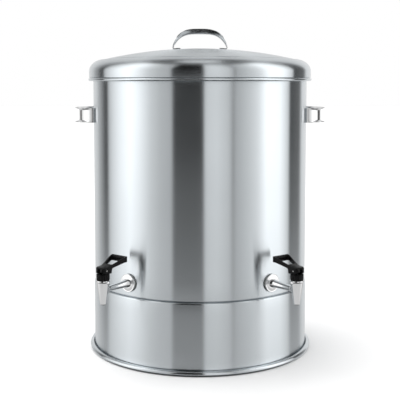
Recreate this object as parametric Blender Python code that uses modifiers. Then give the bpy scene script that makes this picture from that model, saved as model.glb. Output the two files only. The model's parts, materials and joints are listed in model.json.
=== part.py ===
# Insulated stainless beverage urn with two self-closing taps.
# Metres, +Z up, taps at the front (-Y). The frame's origin is on the floor, in the middle of
# the urn's footprint: the taps reach further forward than the foot bead reaches back, so the
# urn's own axis stands axis_setback behind it.
import math

import bmesh
import bpy
from mathutils import Matrix

# Body
shell_radius = 0.190          # outer jacket
rim_height = 0.482            # floor to the top face of the rim
seam_height = 0.120           # floor to the joint between jacket and base skirt
axis_setback = 0.004
sheet = 0.001                 # stainless sheet
gap = 0.0003                  # between pieces that touch
insulation_thickness = 0.014  # between jacket and tank
base_foam_thickness = 0.025
tank_floor_height = 0.126
tank_corner = 0.006
rim_round = 0.004             # tank wall into its rim flange
rim_bead_reach = 0.0085       # rim bead beyond the jacket
rim_bead_height = 0.0055
seam_round = 0.003            # rounded edges on both sides of the seam
seam_flange = 0.0055          # width of the turned-in flange at the seam
skirt_step = 0.0012           # base skirt radius beyond the jacket
skirt_clearance = 0.001       # base pan inside the seam's flanges
foot_bead_inside = 0.00355    # inner radius of the rolled foot bead
shell_segments = 40

# Lid
lid_overhang = 0.0073         # lid wall beyond the jacket
lid_wall_height = 0.011
lid_shoulder_width = 0.027
lid_shoulder_height = 0.0215
lid_dome_rise = 0.0193
lid_crease_width = 0.0034
lid_crease_depth = 0.0013
lid_hem = 0.0065
lid_plug_depth = 0.012
lid_plug_clearance = 0.0015
lid_plug_round = 0.003

# Strap handles: two on the jacket, one on the lid
strap_half_span = 0.048
strap_width = 0.025
strap_thickness = 0.0015
strap_tab = 0.013
strap_web = 0.0172            # flat middle of the pressed grip
strap_lip = 0.008             # depth of the grip's flared edges
strap_reach_ease = 0.56       # the arch: less is flatter on top
strap_rise_ease = 1.67        # more leans the legs further in
strap_edge_inset = 0.0003     # how far the flared edges draw in
strap_lip_foot = 0.0016       # edge of the flat middle to the foot of the lip
strap_lip_foot_rise = 0.0018
strap_press_ease = 1.5        # how late the pressing starts up the arch: 1 is evenly
strap_bend = 0.00225          # radius of the bend into the tab
side_stand_off = 0.024
lid_stand_off = 0.0255
side_handle_drop = 0.065      # rim down to the handles' middle

# Taps, in a frame on the spout's axis at shank height: +Y towards the tank
tap_azimuth = math.radians(38.3)
tap_height = 0.144
tap_reach = 0.060             # jacket to spout axis
tap_segments = 20
spout_top = 0.0155
spout_top_radius = 0.0112
spout_shoulder = 0.0120
spout_bottom = -0.0245
spout_bottom_radius = 0.0053
spout_tip_round = 0.0015
ear_reach = 0.0132
ear_width = 0.005
ear_height = 0.005
chamber_radius = 0.0072
seat_level = -0.004
outlet_radius = 0.0040
shank_start_radius = 0.0049
shank_shoulder = 0.00105      # shank's end beyond its threaded tail
shank_bore_radius = 0.0030
tail_radius = 0.0060
tail_clearance = 0.0003
tail_spare = 0.002            # thread left beyond the nut
flange_radius = 0.0152
flange_thickness = 0.0025
flange_rise = 0.0012
gasket_radius = 0.0130
gasket_thickness = 0.0015
nut_flats = 0.024
nut_thickness = 0.007
spacer_radius = 0.009
bonnet_radius = 0.0105
bonnet_top = 0.026
bonnet_roof = 0.0035
bonnet_chamfer = 0.001
bonnet_spigot_depth = 0.006
bonnet_spigot_wall = 0.0013
cup_clearance = 0.0003
cup_height = 0.0094
cup_neck = 0.0024
stem_radius = 0.0020
stem_foot_radius = 0.0031
stem_foot_height = 0.0036
stem_eye_radius = 0.0033
stem_eye_width = 0.0044
spring_wire = 0.00045
spring_radius = 0.0044
spring_turns = 4
pin_radius = 0.00125
pin_running_clearance = 0.0001
pin_end_inset = 0.0002
lever_hub_width = 0.019
lever_grip_width = 0.033
lever_length = 0.0415
lever_top = 0.0188            # pivot up to the grip's top edge
lever_hub_crown = 0.0012      # hub's top above the cam's reach
lever_hub_front = ((0.0003, 0.45), (0.0026, 0.86), (0.0061, 1.0))
lever_top_edge = ((0.0130, 0.0098), (0.0200, 0.0070), (0.0330, 0.0014), (0.0385, 0.0))
lever_arm_foot = ((0.0330, 0.0092), (0.0130, 0.0040), (0.0100, 0.0020))
lever_heel = 0.0090           # hub's back, from the pivot
lever_saddle = (0.0060, 0.0008)
lever_nose = 0.0020           # grip's rounded edges
lever_grip_depth = 0.0094
lever_hub_corner = (0.0040, 0.0055)
lever_grip_corner = ((0.0004, 0.0085), (0.0, 0.0045), (0.0014, 0.0013), (0.0045, 0.0))
window_corner = 0.0015
cam_radius = 0.0047           # pivot down to the hub's heel, tap closed
stem_lift = 0.004
lever_travel = math.radians(65)
window_near = 0.0120
window_far = 0.0350
window_near_width = 0.0160
window_far_width = 0.0275

# Worked out from the sizes above
jacket_inner = shell_radius - sheet
tank_outer = jacket_inner - insulation_thickness
tank_inner = tank_outer - sheet
shank_end_radius = tail_radius + shank_shoulder
seam_top = seam_height + gap / 2
seam_under = seam_height - gap / 2
skirt_radius = shell_radius + skirt_step
seam_flange_inner = shell_radius - seam_round - seam_flange
tank_underside = tank_floor_height - sheet
jacket_top = rim_height - sheet - gap
lid_radius = shell_radius + lid_overhang
lid_base = rim_height + gap
lid_crease_radius = lid_radius - lid_shoulder_width
lid_crease_height = lid_base + lid_wall_height + lid_shoulder_height
dome_radius = (lid_crease_radius ** 2 + lid_dome_rise ** 2) / (2 * lid_dome_rise)
spout_radius_from_axis = shell_radius + tap_reach
bonnet_base = spout_top + gap
bonnet_ceiling = bonnet_top - bonnet_roof
pivot_height = bonnet_top + gap + cam_radius
cup_radius = chamber_radius - gap - bonnet_spigot_wall - cup_clearance
cup_bottom = seat_level + gap
cup_top = cup_bottom + cup_height
shell_facet = math.cos(math.pi / shell_segments)


for old in list(bpy.data.objects):
    bpy.data.objects.remove(old, do_unlink=True)

parts = bpy.data.collections.new("beverage_urn")
cutters = bpy.data.collections.new("beverage_urn_cutters")
bpy.context.scene.collection.children.link(parts)
bpy.context.scene.collection.children.link(cutters)


def make_material(name, colour, metallic, roughness):
    material = bpy.data.materials.new(name)
    material.use_nodes = True
    shader = material.node_tree.nodes["Principled BSDF"]
    shader.inputs["Base Color"].default_value = (*colour, 1.0)
    shader.inputs["Metallic"].default_value = metallic
    shader.inputs["Roughness"].default_value = roughness
    return material


def add_object(name, data, material=None, parent=None, cutter=False):
    obj = bpy.data.objects.new(name, data)
    (cutters if cutter else parts).objects.link(obj)
    if material:
        data.materials.append(material)
    if cutter:
        obj.hide_render = True
        obj.display_type = "WIRE"
    obj.parent = parent
    return obj


def add_empty(name, location, turn=0.0, parent=None):
    empty = bpy.data.objects.new(name, None)
    parts.objects.link(empty)
    empty.location = location
    empty.rotation_euler = (0, 0, turn)
    empty.parent = parent
    return empty


def arc(centre, radius, start, end, steps, height=None):
    """Points of an arc in the (radius, z) plane; angles in degrees, height for an ellipse."""
    rise = radius if height is None else height
    points = []
    for i in range(steps + 1):
        angle = math.radians(start + (end - start) * i / steps)
        points.append((centre[0] + radius * math.cos(angle), centre[1] + rise * math.sin(angle)))
    return points


def profile_mesh(name, profile, closed):
    mesh = bpy.data.meshes.new(name)
    edges = [(i, i + 1) for i in range(len(profile) - 1)]
    if closed:
        edges.append((len(profile) - 1, 0))
    mesh.from_pydata([(r, 0, z) for r, z in profile], edges, [])
    return mesh


def turned(name, profile, material=None, parent=None, segments=tap_segments, cutter=False):
    """A solid of revolution about Z. The profile runs down its outer side; it starts and ends
    on the axis, or it is closed into a ring."""
    closed = profile[0][0] > 0 or profile[-1][0] > 0
    obj = add_object(name, profile_mesh(name, profile, closed), material, parent, cutter)
    screw_profile(obj, segments)
    return obj


def screw_profile(obj, segments):
    screw = obj.modifiers.new("Turn", "SCREW")
    screw.axis = "Z"
    screw.steps = segments
    screw.render_steps = segments
    screw.use_merge_vertices = True
    screw.merge_threshold = 0.00001
    screw.use_smooth_shade = True


def spun_sheet(name, profile, material, parent, thickness=sheet):
    """Sheet metal spun to a profile; the thickness is behind the profile's face."""
    obj = add_object(name, profile_mesh(name, profile, False), material, parent)
    screw_profile(obj, shell_segments)
    solid = obj.modifiers.new("Sheet", "SOLIDIFY")
    solid.thickness = thickness
    solid.offset = -1
    solid.use_even_offset = True
    return obj


def combine(obj, other, operation="DIFFERENCE"):
    boolean = obj.modifiers.new(operation.title(), "BOOLEAN")
    boolean.object = other
    boolean.operation = operation
    return obj


def box(name, size, location, parent):
    mesh = bpy.data.meshes.new(name)
    shape = bmesh.new()
    bmesh.ops.create_cube(shape, size=1)
    bmesh.ops.scale(shape, vec=size, verts=shape.verts)
    shape.to_mesh(mesh)
    shape.free()
    obj = add_object(name, mesh, parent=parent, cutter=True)
    obj.location = location
    return obj


def cylinder(name, radius, start, end, parent, sides=tap_segments, axis="Y", cutter=True,
             material=None):
    """A cylinder between two places on the parent's X, Y or Z axis."""
    mesh = bpy.data.meshes.new(name)
    shape = bmesh.new()
    turn = {"X": Matrix.Rotation(math.pi / 2, 4, "Y"),
            "Y": Matrix.Rotation(-math.pi / 2, 4, "X"),
            "Z": Matrix.Identity(4)}[axis]
    shift = Matrix.Translation((0, 0, (start + end) / 2))
    bmesh.ops.create_cone(shape, cap_ends=True, segments=sides, radius1=radius, radius2=radius,
                          depth=end - start, matrix=turn @ shift)
    shape.to_mesh(mesh)
    shape.free()
    return add_object(name, mesh, material, parent, cutter)


def slab(name, outlines, thickness, turn, parent, cutter=True, material=None):
    """A flat outline, with any holes, thickened both ways and made a welded mesh."""
    curve = bpy.data.curves.new(name, "CURVE")
    curve.dimensions = "2D"
    curve.fill_mode = "BOTH"
    curve.extrude = thickness / 2
    for outline in outlines:
        spline = curve.splines.new("POLY")
        spline.points.add(len(outline) - 1)
        for point, (x, y) in zip(spline.points, outline):
            point.co = (x, y, 0, 1)
        spline.use_cyclic_u = True
    flat = bpy.data.objects.new(name, curve)
    bpy.context.scene.collection.objects.link(flat)
    mesh = bpy.data.meshes.new_from_object(flat.evaluated_get(bpy.context.evaluated_depsgraph_get()))
    bpy.data.objects.remove(flat)
    mesh.name = name
    shape = bmesh.new()
    shape.from_mesh(mesh)
    bmesh.ops.remove_doubles(shape, verts=shape.verts, dist=0.00001)
    bmesh.ops.transform(shape, matrix=turn, verts=shape.verts)
    shape.to_mesh(mesh)
    shape.free()
    return add_object(name, mesh, material, parent, cutter)


steel = make_material("brushed_steel", (0.72, 0.73, 0.74), 1.0, 0.32)
chrome = make_material("chrome", (0.86, 0.87, 0.88), 1.0, 0.10)
black = make_material("black_plastic", (0.012, 0.012, 0.013), 0.0, 0.35)
bright_steel = make_material("bright_steel", (0.78, 0.78, 0.78), 1.0, 0.2)
silicone = make_material("silicone", (0.80, 0.79, 0.75), 0.0, 0.55)
foam = make_material("foam", (0.86, 0.80, 0.62), 0.0, 0.9)

urn = add_empty("urn_axis", (0, axis_setback, 0))


def make_jacket():
    corner = (shell_radius - seam_round, seam_top + seam_round)
    profile = [(shell_radius, jacket_top)]
    profile += arc(corner, seam_round, 0, -90, 2)
    profile.append((seam_flange_inner, seam_top))
    return spun_sheet("outer_jacket", profile, steel, urn)


def make_tank():
    floor_corner = (tank_inner - tank_corner, tank_floor_height + tank_corner)
    rim_corner = (tank_inner + rim_round, rim_height - rim_round)
    bead_radius = rim_bead_height / 2
    bead_centre = (shell_radius + rim_bead_reach - bead_radius, rim_height - bead_radius)
    profile = [(0, tank_floor_height)]
    profile += arc(floor_corner, tank_corner, -90, 0, 2)
    profile += arc(rim_corner, rim_round, 180, 90, 2)
    profile += arc(bead_centre, bead_radius, 90, -90, 4)
    profile.append((shell_radius + sheet, rim_height - rim_bead_height))
    return spun_sheet("inner_tank", profile, steel, urn)


def make_side_foam():
    top = rim_height - rim_round - gap
    bottom = tank_underside
    outer = jacket_inner - gap
    inner = tank_outer + gap
    profile = [(outer, top), (outer, bottom), (inner, bottom), (inner, top)]
    return turned("side_insulation", profile, foam, urn, shell_segments)


def make_base_pan():
    flange = seam_top + sheet + gap + sheet
    dish = seam_flange_inner - skirt_clearance - sheet
    floor = tank_underside - gap - base_foam_thickness - gap
    corner = (dish - tank_corner, floor + tank_corner)
    profile = [(0, floor)]
    profile += arc(corner, tank_corner, -90, 0, 2)
    profile += [(dish, flange), (shell_radius - seam_round, flange)]
    pan = spun_sheet("base_pan", profile, steel, urn)

    top = tank_underside - gap
    bottom = floor + gap
    edge = dish - gap
    chamfer = tank_corner
    block = [(0, top), (edge, top), (edge, bottom + chamfer), (edge - chamfer, bottom), (0, bottom)]
    turned("base_insulation", block, foam, urn, shell_segments)
    return pan


def make_skirt():
    """The curl rolls outward, so the sheet's back is its visible face there. Its lowest
    facet is level and is what the urn stands on."""
    facet = math.radians(18)
    centre = (skirt_radius + foot_bead_inside, foot_bead_inside * math.cos(facet) + sheet)
    corner = (skirt_radius - seam_round, seam_under - seam_round)
    profile = [(seam_flange_inner, seam_under)]
    profile += arc(corner, seam_round, 90, 0, 2)
    profile.append((skirt_radius, centre[1]))
    profile += arc(centre, foot_bead_inside, 216, 468, 7)
    return spun_sheet("base_skirt", profile, steel, urn)


jacket = make_jacket()
tank = make_tank()
side_foam = make_side_foam()
make_base_pan()
make_skirt()


def dome_height(radius):
    drop = dome_radius - math.sqrt(dome_radius ** 2 - radius ** 2)
    return lid_crease_height + lid_dome_rise - drop


def make_lid_shell():
    crease = lid_crease_radius
    dome_edge = crease - lid_crease_width
    profile = [(dome_edge * i / 5, dome_height(dome_edge * i / 5)) for i in range(6)]
    profile.append((crease - lid_crease_width / 2, lid_crease_height - lid_crease_depth))
    shoulder_centre = (crease, lid_base + lid_wall_height)
    profile += arc(shoulder_centre, lid_shoulder_width, 90, 0, 5, lid_shoulder_height)
    profile += [(lid_radius, lid_base), (lid_radius - lid_hem, lid_base)]
    return spun_sheet("lid_shell", profile, steel, urn)


def make_lid_pan():
    """An inner pan lying on the lid's hem. Its sunk middle centres the lid in the tank."""
    flange = lid_base + sheet + gap + sheet
    edge = lid_radius - sheet - gap
    wall = tank_inner - lid_plug_clearance - sheet
    floor = lid_base - lid_plug_depth
    corner = (wall - lid_plug_round, floor + lid_plug_round)
    profile = [(0, floor)]
    profile += arc(corner, lid_plug_round, -90, 0, 2)
    profile += [(wall, flange), (edge, flange)]
    spun_sheet("lid_pan", profile, steel, urn)

    clear = 2 * sheet + lid_crease_depth
    low = floor + gap
    ledge = flange + gap
    block = [(0, dome_height(0) - clear)]
    for share in (0.35, 0.7):
        radius = lid_crease_radius * share
        block.append((radius, dome_height(radius) - clear))
    shoulder = lid_crease_radius + lid_shoulder_width / 2
    block += [
        (lid_crease_radius - lid_crease_width, lid_crease_height - clear),
        (lid_crease_radius, lid_crease_height - clear),
        (shoulder, lid_base + lid_wall_height + lid_shoulder_height / 2),
        (shoulder, ledge),
        (wall - gap, ledge),
        (wall - gap, low + lid_plug_round),
        (wall - gap - lid_plug_round, low),
        (0, low),
    ]
    turned("lid_insulation", block, foam, urn, shell_segments)


make_lid_shell()
make_lid_pan()


def strap_path(seat_radius, stand_off):
    """Half of the strap's middle line, from the top of the arch to the tab's end, as (x, z).
    z is 0 on the seat under the arch's middle; the seat curves down with seat_radius."""
    def seat(x):
        lift = gap + strap_thickness / 2
        return math.sqrt(seat_radius ** 2 - x ** 2) - seat_radius + lift

    foot = seat(strap_half_span)
    rise = stand_off + strap_thickness / 2 - foot
    path = []
    steps = 8
    for i in range(steps):
        angle = math.pi / 2 * (1 - i / steps)
        x = strap_half_span * math.cos(angle) ** strap_reach_ease
        z = strap_bend + (rise - strap_bend) * math.sin(angle) ** strap_rise_ease
        path.append((x, foot + z))
    path.append((strap_half_span, foot + strap_bend))
    path.append((strap_half_span - 0.4 * strap_bend, foot + 0.3 * strap_bend))
    inner = strap_half_span - strap_bend
    path.append((inner, seat(inner)))
    end = strap_half_span - strap_tab
    path.append((end, seat(end)))
    return path, foot, rise


def strap_section(share):
    """Across the strap: places from edge to middle as (across, raised) for a grip that is
    fully pressed at share 1 and flat at share 0."""
    half = strap_width / 2
    web = strap_web / 2
    lip_foot = web + strap_lip_foot
    flat = [half, lip_foot, web, 0]
    pressed = [half - strap_edge_inset, lip_foot, web, 0]
    raised = [strap_lip, strap_lip_foot_rise, 0, 0]
    section = [(f + (p - f) * share, r * share) for f, p, r in zip(flat, pressed, raised)]
    return section + [(-across, lift) for across, lift in reversed(section[:-1])]


def strap_handle(name, seat_radius, stand_off, parent):
    half, foot, rise = strap_path(seat_radius, stand_off)
    path = [(-x, z) for x, z in reversed(half)] + half[1:]
    rows = len(path)
    columns = len(strap_section(0))
    mesh = bpy.data.meshes.new(name)
    shape = bmesh.new()
    bmesh.ops.create_grid(shape, x_segments=rows - 1, y_segments=columns - 1, size=1)
    for vert in shape.verts:
        row = round((vert.co.x + 1) / 2 * (rows - 1))
        column = round((vert.co.y + 1) / 2 * (columns - 1))
        x, z = path[row]
        before = path[max(row - 1, 0)]
        after = path[min(row + 1, rows - 1)]
        run = math.hypot(after[0] - before[0], after[1] - before[1])
        normal = (-(after[1] - before[1]) / run, (after[0] - before[0]) / run)
        share = 0.0 if abs(x) >= strap_half_span else max(0.0, (z - foot) / rise) ** strap_press_ease
        across, raised = strap_section(share)[column]
        vert.co = (x + normal[0] * raised, -across, z + normal[1] * raised)
    shape.to_mesh(mesh)
    shape.free()
    mesh.shade_smooth()
    obj = add_object(name, mesh, steel, parent)
    solid = obj.modifiers.new("Sheet", "SOLIDIFY")
    solid.thickness = strap_thickness
    solid.offset = 0
    solid.use_even_offset = True
    return obj


for side, sign in (("left", -1), ("right", 1)):
    handle = strap_handle(side + "_side_handle", shell_radius, side_stand_off, urn)
    handle.location = (sign * shell_radius, 0, rim_height - side_handle_drop)
    handle.rotation_euler = (math.pi / 2, 0, sign * math.pi / 2)
lid_handle = strap_handle("lid_handle", dome_radius, lid_stand_off, urn)
lid_handle.location = (0, 0, dome_height(0))


def tap_stack():
    """Where the fixing pieces lie along the shank, from the flange to the end of the tail.
    The walls are round and the washers flat, so each one stands off by the wall's sagitta."""
    def wall_near(radius, half_width):
        return spout_radius_from_axis - math.sqrt(radius ** 2 - half_width ** 2)

    places = {}
    places["gasket_back"] = wall_near(shell_radius, 0) - gap
    places["gasket_front"] = places["gasket_back"] - gasket_thickness
    places["flange_back"] = places["gasket_front"] - gap
    places["flange_front"] = places["flange_back"] - flange_thickness
    places["shoulder"] = places["flange_front"] - gap
    places["spacer_front"] = wall_near(jacket_inner * shell_facet, spacer_radius) + gap
    places["spacer_back"] = wall_near(tank_outer, 0) - gap
    places["inner_gasket_front"] = wall_near(tank_inner * shell_facet, gasket_radius) + gap
    places["inner_gasket_back"] = places["inner_gasket_front"] + gasket_thickness
    places["nut_front"] = places["inner_gasket_back"] + gap
    places["nut_back"] = places["nut_front"] + nut_thickness
    places["tail_end"] = places["nut_back"] + tail_spare
    return places


def washer(name, radius, start, end, material, parent, front_rise=0.0):
    """A flat ring on the shank, between two places on Y, with an optional raised front."""
    hole = tail_radius + tail_clearance
    profile = [(radius, end), (radius, start + front_rise)]
    if front_rise:
        profile.append(((radius + hole) / 2, start))
    profile += [(hole, start), (hole, end)]
    ring = turned(name, profile, material, parent)
    ring.rotation_euler = (-math.pi / 2, 0, 0)
    return ring


def make_tap_body(prefix, frame, places):
    tip = (spout_bottom_radius - spout_tip_round, spout_bottom + spout_tip_round)
    profile = [(0, spout_top), (spout_top_radius, spout_top), (spout_top_radius, spout_shoulder)]
    profile += arc(tip, spout_tip_round, 0, -90, 2)
    profile.append((0, spout_bottom))
    body = turned(prefix + "_tap_body", profile, chrome, frame)

    root = spout_bottom_radius / 2
    shank_profile = [
        (0, places["tail_end"]),
        (tail_radius, places["tail_end"]),
        (tail_radius, places["shoulder"]),
        (shank_end_radius, places["shoulder"]),
        (shank_start_radius, root),
        (0, root),
    ]
    shank = turned(prefix + "_shank_join", shank_profile, None, frame, cutter=True)
    shank.rotation_euler = (-math.pi / 2, 0, 0)
    ears = box(prefix + "_ear_join", (2 * ear_reach, ear_width, ear_height),
               (0, 0, spout_top - gap - ear_height / 2), frame)
    chamber_profile = [
        (0, spout_top + sheet),
        (chamber_radius, spout_top + sheet),
        (chamber_radius, seat_level),
        (outlet_radius, seat_level),
        (outlet_radius, spout_bottom - sheet),
        (0, spout_bottom - sheet),
    ]
    chamber = turned(prefix + "_chamber_cut", chamber_profile, None, frame, cutter=True)
    bore = cylinder(prefix + "_shank_bore_cut", shank_bore_radius, chamber_radius / 2,
                    places["tail_end"] + sheet, frame)
    combine(body, shank, "UNION")
    combine(body, ears, "UNION")
    combine(body, chamber)
    combine(body, bore)


def make_bonnet(prefix, frame):
    spigot = chamber_radius - gap
    cavity = spigot - bonnet_spigot_wall
    hole = stem_radius + gap
    spigot_bottom = bonnet_base - bonnet_spigot_depth
    profile = [
        (bonnet_radius - bonnet_chamfer, bonnet_top),
        (bonnet_radius, bonnet_top - bonnet_chamfer),
        (bonnet_radius, bonnet_base),
        (spigot, bonnet_base),
        (spigot, spigot_bottom),
        (cavity, spigot_bottom),
        (cavity, bonnet_ceiling),
        (hole, bonnet_ceiling),
        (hole, bonnet_top),
    ]
    turned(prefix + "_tap_bonnet", profile, black, frame)


def make_stem_group(prefix, frame):
    foot_top = cup_top - cup_neck - gap
    foot_bottom = foot_top - stem_foot_height
    pocket = stem_foot_radius + gap
    neck = stem_radius + gap
    cup = [
        (0, foot_bottom - gap),
        (pocket, foot_bottom - gap),
        (pocket, foot_top + gap),
        (neck, foot_top + gap),
        (neck, cup_top),
        (cup_radius, cup_top),
        (cup_radius, cup_bottom + sheet),
        (cup_radius - sheet, cup_bottom),
        (0, cup_bottom),
    ]
    turned(prefix + "_tap_seat_cup", cup, silicone, frame)
    rod = [
        (0, pivot_height),
        (stem_radius, pivot_height),
        (stem_radius, foot_top),
        (stem_foot_radius, foot_top),
        (stem_foot_radius, foot_bottom),
        (0, foot_bottom),
    ]
    stem = turned(prefix + "_tap_stem", rod, bright_steel, frame, 16)
    half = stem_eye_width / 2
    pin_at = add_empty(prefix + "_pivot", (0, 0, pivot_height), parent=frame)
    eye = cylinder(prefix + "_eye_join", stem_eye_radius, -half, half, pin_at, 16, "X")
    hole = cylinder(prefix + "_eye_hole_cut", pin_radius + pin_running_clearance, -2 * half,
                    2 * half, pin_at, 16, "X")
    combine(stem, eye, "UNION")
    combine(stem, hole)
    pin_half = lever_hub_width / 2 - pin_end_inset
    cylinder(prefix + "_tap_pivot_pin", pin_radius, -pin_half, pin_half, pin_at, 16, "X", False,
             bright_steel)
    return pin_at


def make_spring(prefix, frame):
    """A compression spring between the seat cup and the bonnet's roof."""
    low = cup_top + gap + spring_wire
    high = bonnet_ceiling - gap - spring_wire
    per_turn = 8
    count = round(spring_turns * per_turn)
    curve = bpy.data.curves.new(prefix + "_tap_spring", "CURVE")
    curve.dimensions = "3D"
    curve.bevel_depth = spring_wire
    curve.bevel_resolution = 1
    curve.use_fill_caps = True
    spline = curve.splines.new("POLY")
    spline.points.add(count)
    for i, point in enumerate(spline.points):
        turn = 2 * math.pi * i / per_turn
        height = low + (high - low) * i / count
        point.co = (spring_radius * math.cos(turn), spring_radius * math.sin(turn), height, 1)
    add_object(prefix + "_tap_spring", curve, bright_steel, frame)


def lever_side_outline():
    """The lever seen from its side, as (y, z) about the pivot. Below and in front of the pivot
    the hub is a flat-faced cam: it stays on the bonnet's top while the stem rises evenly."""
    rate = stem_lift / lever_travel
    steps = 6
    outline = []
    for i in range(steps + 1):
        angle = lever_travel * i / steps
        reach = cam_radius + rate * angle
        y = -reach * math.sin(angle) - rate * math.cos(angle)
        z = -reach * math.cos(angle) + rate * math.sin(angle)
        outline.append((y, z))
    front = outline[-1][0]
    hub_top = cam_radius + lever_hub_crown
    outline += [(front + back, hub_top * share) for back, share in lever_hub_front]
    outline.append((lever_saddle[0], hub_top + lever_saddle[1]))
    outline += [(y, lever_top - drop) for y, drop in lever_top_edge]
    grip_foot = lever_top - lever_grip_depth
    outline += [
        (lever_length, lever_top - lever_nose),
        (lever_length, grip_foot + lever_nose),
        (lever_length - lever_nose, grip_foot),
    ]
    outline += lever_arm_foot
    outline.append((lever_heel, -cam_radius))
    return outline


def lever_plan_outlines(front):
    """The lever seen from above, and the window in its grip, as (x, y) about the pivot."""
    hub = lever_hub_width / 2
    grip = lever_grip_width / 2
    near = window_near_width / 2
    far = window_far_width / 2
    in_by, back_by = lever_hub_corner
    half = [(hub - in_by, front - sheet), (hub, front + back_by), (hub, back_by)]
    half += [(grip - inset, lever_length - short) for inset, short in lever_grip_corner]
    window = [
        (near - window_corner, window_near),
        (near, window_near + window_corner),
        (far, window_far - window_corner),
        (far - window_corner, window_far),
    ]
    outlines = []
    for points in (half, window):
        outlines.append(points + [(-x, y) for x, y in reversed(points)])
    return outlines


def make_lever(prefix, pin_at):
    outline = lever_side_outline()
    front = min(y for y, z in outline)
    # The outline's x is the lever's Y and its y is the lever's Z.
    upright = Matrix(((0, 0, 1, 0), (1, 0, 0, 0), (0, 1, 0, 0), (0, 0, 0, 1)))
    lever = slab(prefix + "_tap_lever", [outline], 2 * lever_grip_width, upright, pin_at, False,
                 black)
    plan = slab(prefix + "_lever_plan_cut", lever_plan_outlines(front), 4 * lever_length,
                Matrix.Identity(4), pin_at)
    combine(lever, plan, "INTERSECT")
    slot_end = stem_eye_radius + gap
    reach = 2 * lever_length
    slot = box(prefix + "_eye_slot_cut", (stem_eye_width + 2 * gap, reach, reach),
               (0, slot_end - reach / 2, slot_end - reach / 2), pin_at)
    combine(lever, slot)
    hole = cylinder(prefix + "_lever_hole_cut", pin_radius + pin_running_clearance,
                    -lever_grip_width, lever_grip_width, pin_at, 16, "X")
    combine(lever, hole)


def cut_walls(prefix, frame, places):
    """The shank's holes through both skins, and the spacer's hole through the foam."""
    through_jacket = cylinder(prefix + "_jacket_hole_cut", tail_radius + 2 * tail_clearance,
                              places["flange_back"], places["spacer_back"], frame)
    through_tank = cylinder(prefix + "_tank_hole_cut", tail_radius + 2 * tail_clearance,
                            places["spacer_front"], places["tail_end"], frame)
    through_foam = cylinder(prefix + "_foam_hole_cut", spacer_radius + gap,
                            places["flange_back"], places["tail_end"], frame)
    combine(jacket, through_jacket)
    combine(tank, through_tank)
    combine(side_foam, through_foam)


def make_tap(prefix, sign):
    places = tap_stack()
    azimuth = sign * tap_azimuth
    reach = spout_radius_from_axis
    frame = add_empty(prefix + "_tap_axis",
                      (reach * math.sin(azimuth), -reach * math.cos(azimuth), tap_height),
                      azimuth, urn)
    make_tap_body(prefix, frame, places)
    make_bonnet(prefix, frame)
    pin_at = make_stem_group(prefix, frame)
    make_spring(prefix, frame)
    make_lever(prefix, pin_at)
    washer(prefix + "_tap_flange", flange_radius, places["flange_front"], places["flange_back"],
           chrome, frame, flange_rise)
    washer(prefix + "_outer_gasket", gasket_radius, places["gasket_front"],
           places["gasket_back"], silicone, frame)
    washer(prefix + "_wall_spacer", spacer_radius, places["spacer_front"],
           places["spacer_back"], bright_steel, frame)
    washer(prefix + "_inner_gasket", gasket_radius, places["inner_gasket_front"],
           places["inner_gasket_back"], silicone, frame)
    nut = cylinder(prefix + "_lock_nut", nut_flats / math.sqrt(3), places["nut_front"],
                   places["nut_back"], frame, 6, "Y", False, bright_steel)
    bore = cylinder(prefix + "_nut_bore_cut", tail_radius + tail_clearance,
                    places["nut_front"] - sheet, places["nut_back"] + sheet, frame)
    combine(nut, bore)
    cut_walls(prefix, frame, places)


make_tap("left", -1)
make_tap("right", 1)
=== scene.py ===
import json
import math

import bmesh
import bpy
from mathutils import Matrix, Vector


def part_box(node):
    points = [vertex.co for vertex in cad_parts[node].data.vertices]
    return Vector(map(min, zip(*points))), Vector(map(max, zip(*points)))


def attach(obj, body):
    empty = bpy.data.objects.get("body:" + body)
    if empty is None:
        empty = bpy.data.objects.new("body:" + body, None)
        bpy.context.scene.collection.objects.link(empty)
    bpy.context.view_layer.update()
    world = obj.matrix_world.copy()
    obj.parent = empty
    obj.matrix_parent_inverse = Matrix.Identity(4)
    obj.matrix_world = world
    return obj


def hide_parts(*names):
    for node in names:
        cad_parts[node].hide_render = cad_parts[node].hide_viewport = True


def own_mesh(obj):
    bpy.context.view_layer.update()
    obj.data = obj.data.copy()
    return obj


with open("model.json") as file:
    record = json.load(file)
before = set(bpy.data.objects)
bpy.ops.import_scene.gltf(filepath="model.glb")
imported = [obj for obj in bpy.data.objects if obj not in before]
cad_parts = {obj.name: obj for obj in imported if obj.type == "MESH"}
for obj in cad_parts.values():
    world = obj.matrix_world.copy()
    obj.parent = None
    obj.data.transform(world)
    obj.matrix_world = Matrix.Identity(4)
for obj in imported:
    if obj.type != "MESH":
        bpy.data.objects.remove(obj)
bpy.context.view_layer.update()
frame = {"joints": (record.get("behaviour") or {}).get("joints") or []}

# Beverage urn with two taps. Metres, +Z up, taps at the front (-Y).
jacketLow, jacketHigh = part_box("outer_jacket")
axisY = (jacketLow.y + jacketHigh.y) / 2
shellRadius = (jacketHigh.x - jacketLow.x) / 2
tankLow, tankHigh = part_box("inner_tank")
rimHeight = tankHigh.z
lidLow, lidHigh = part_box("lid_shell")
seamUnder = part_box("base_skirt")[1].z
sheet = 0.001   # stainless sheet
gap = 0.0003    # clearance between pieces that touch on the real urn


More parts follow.
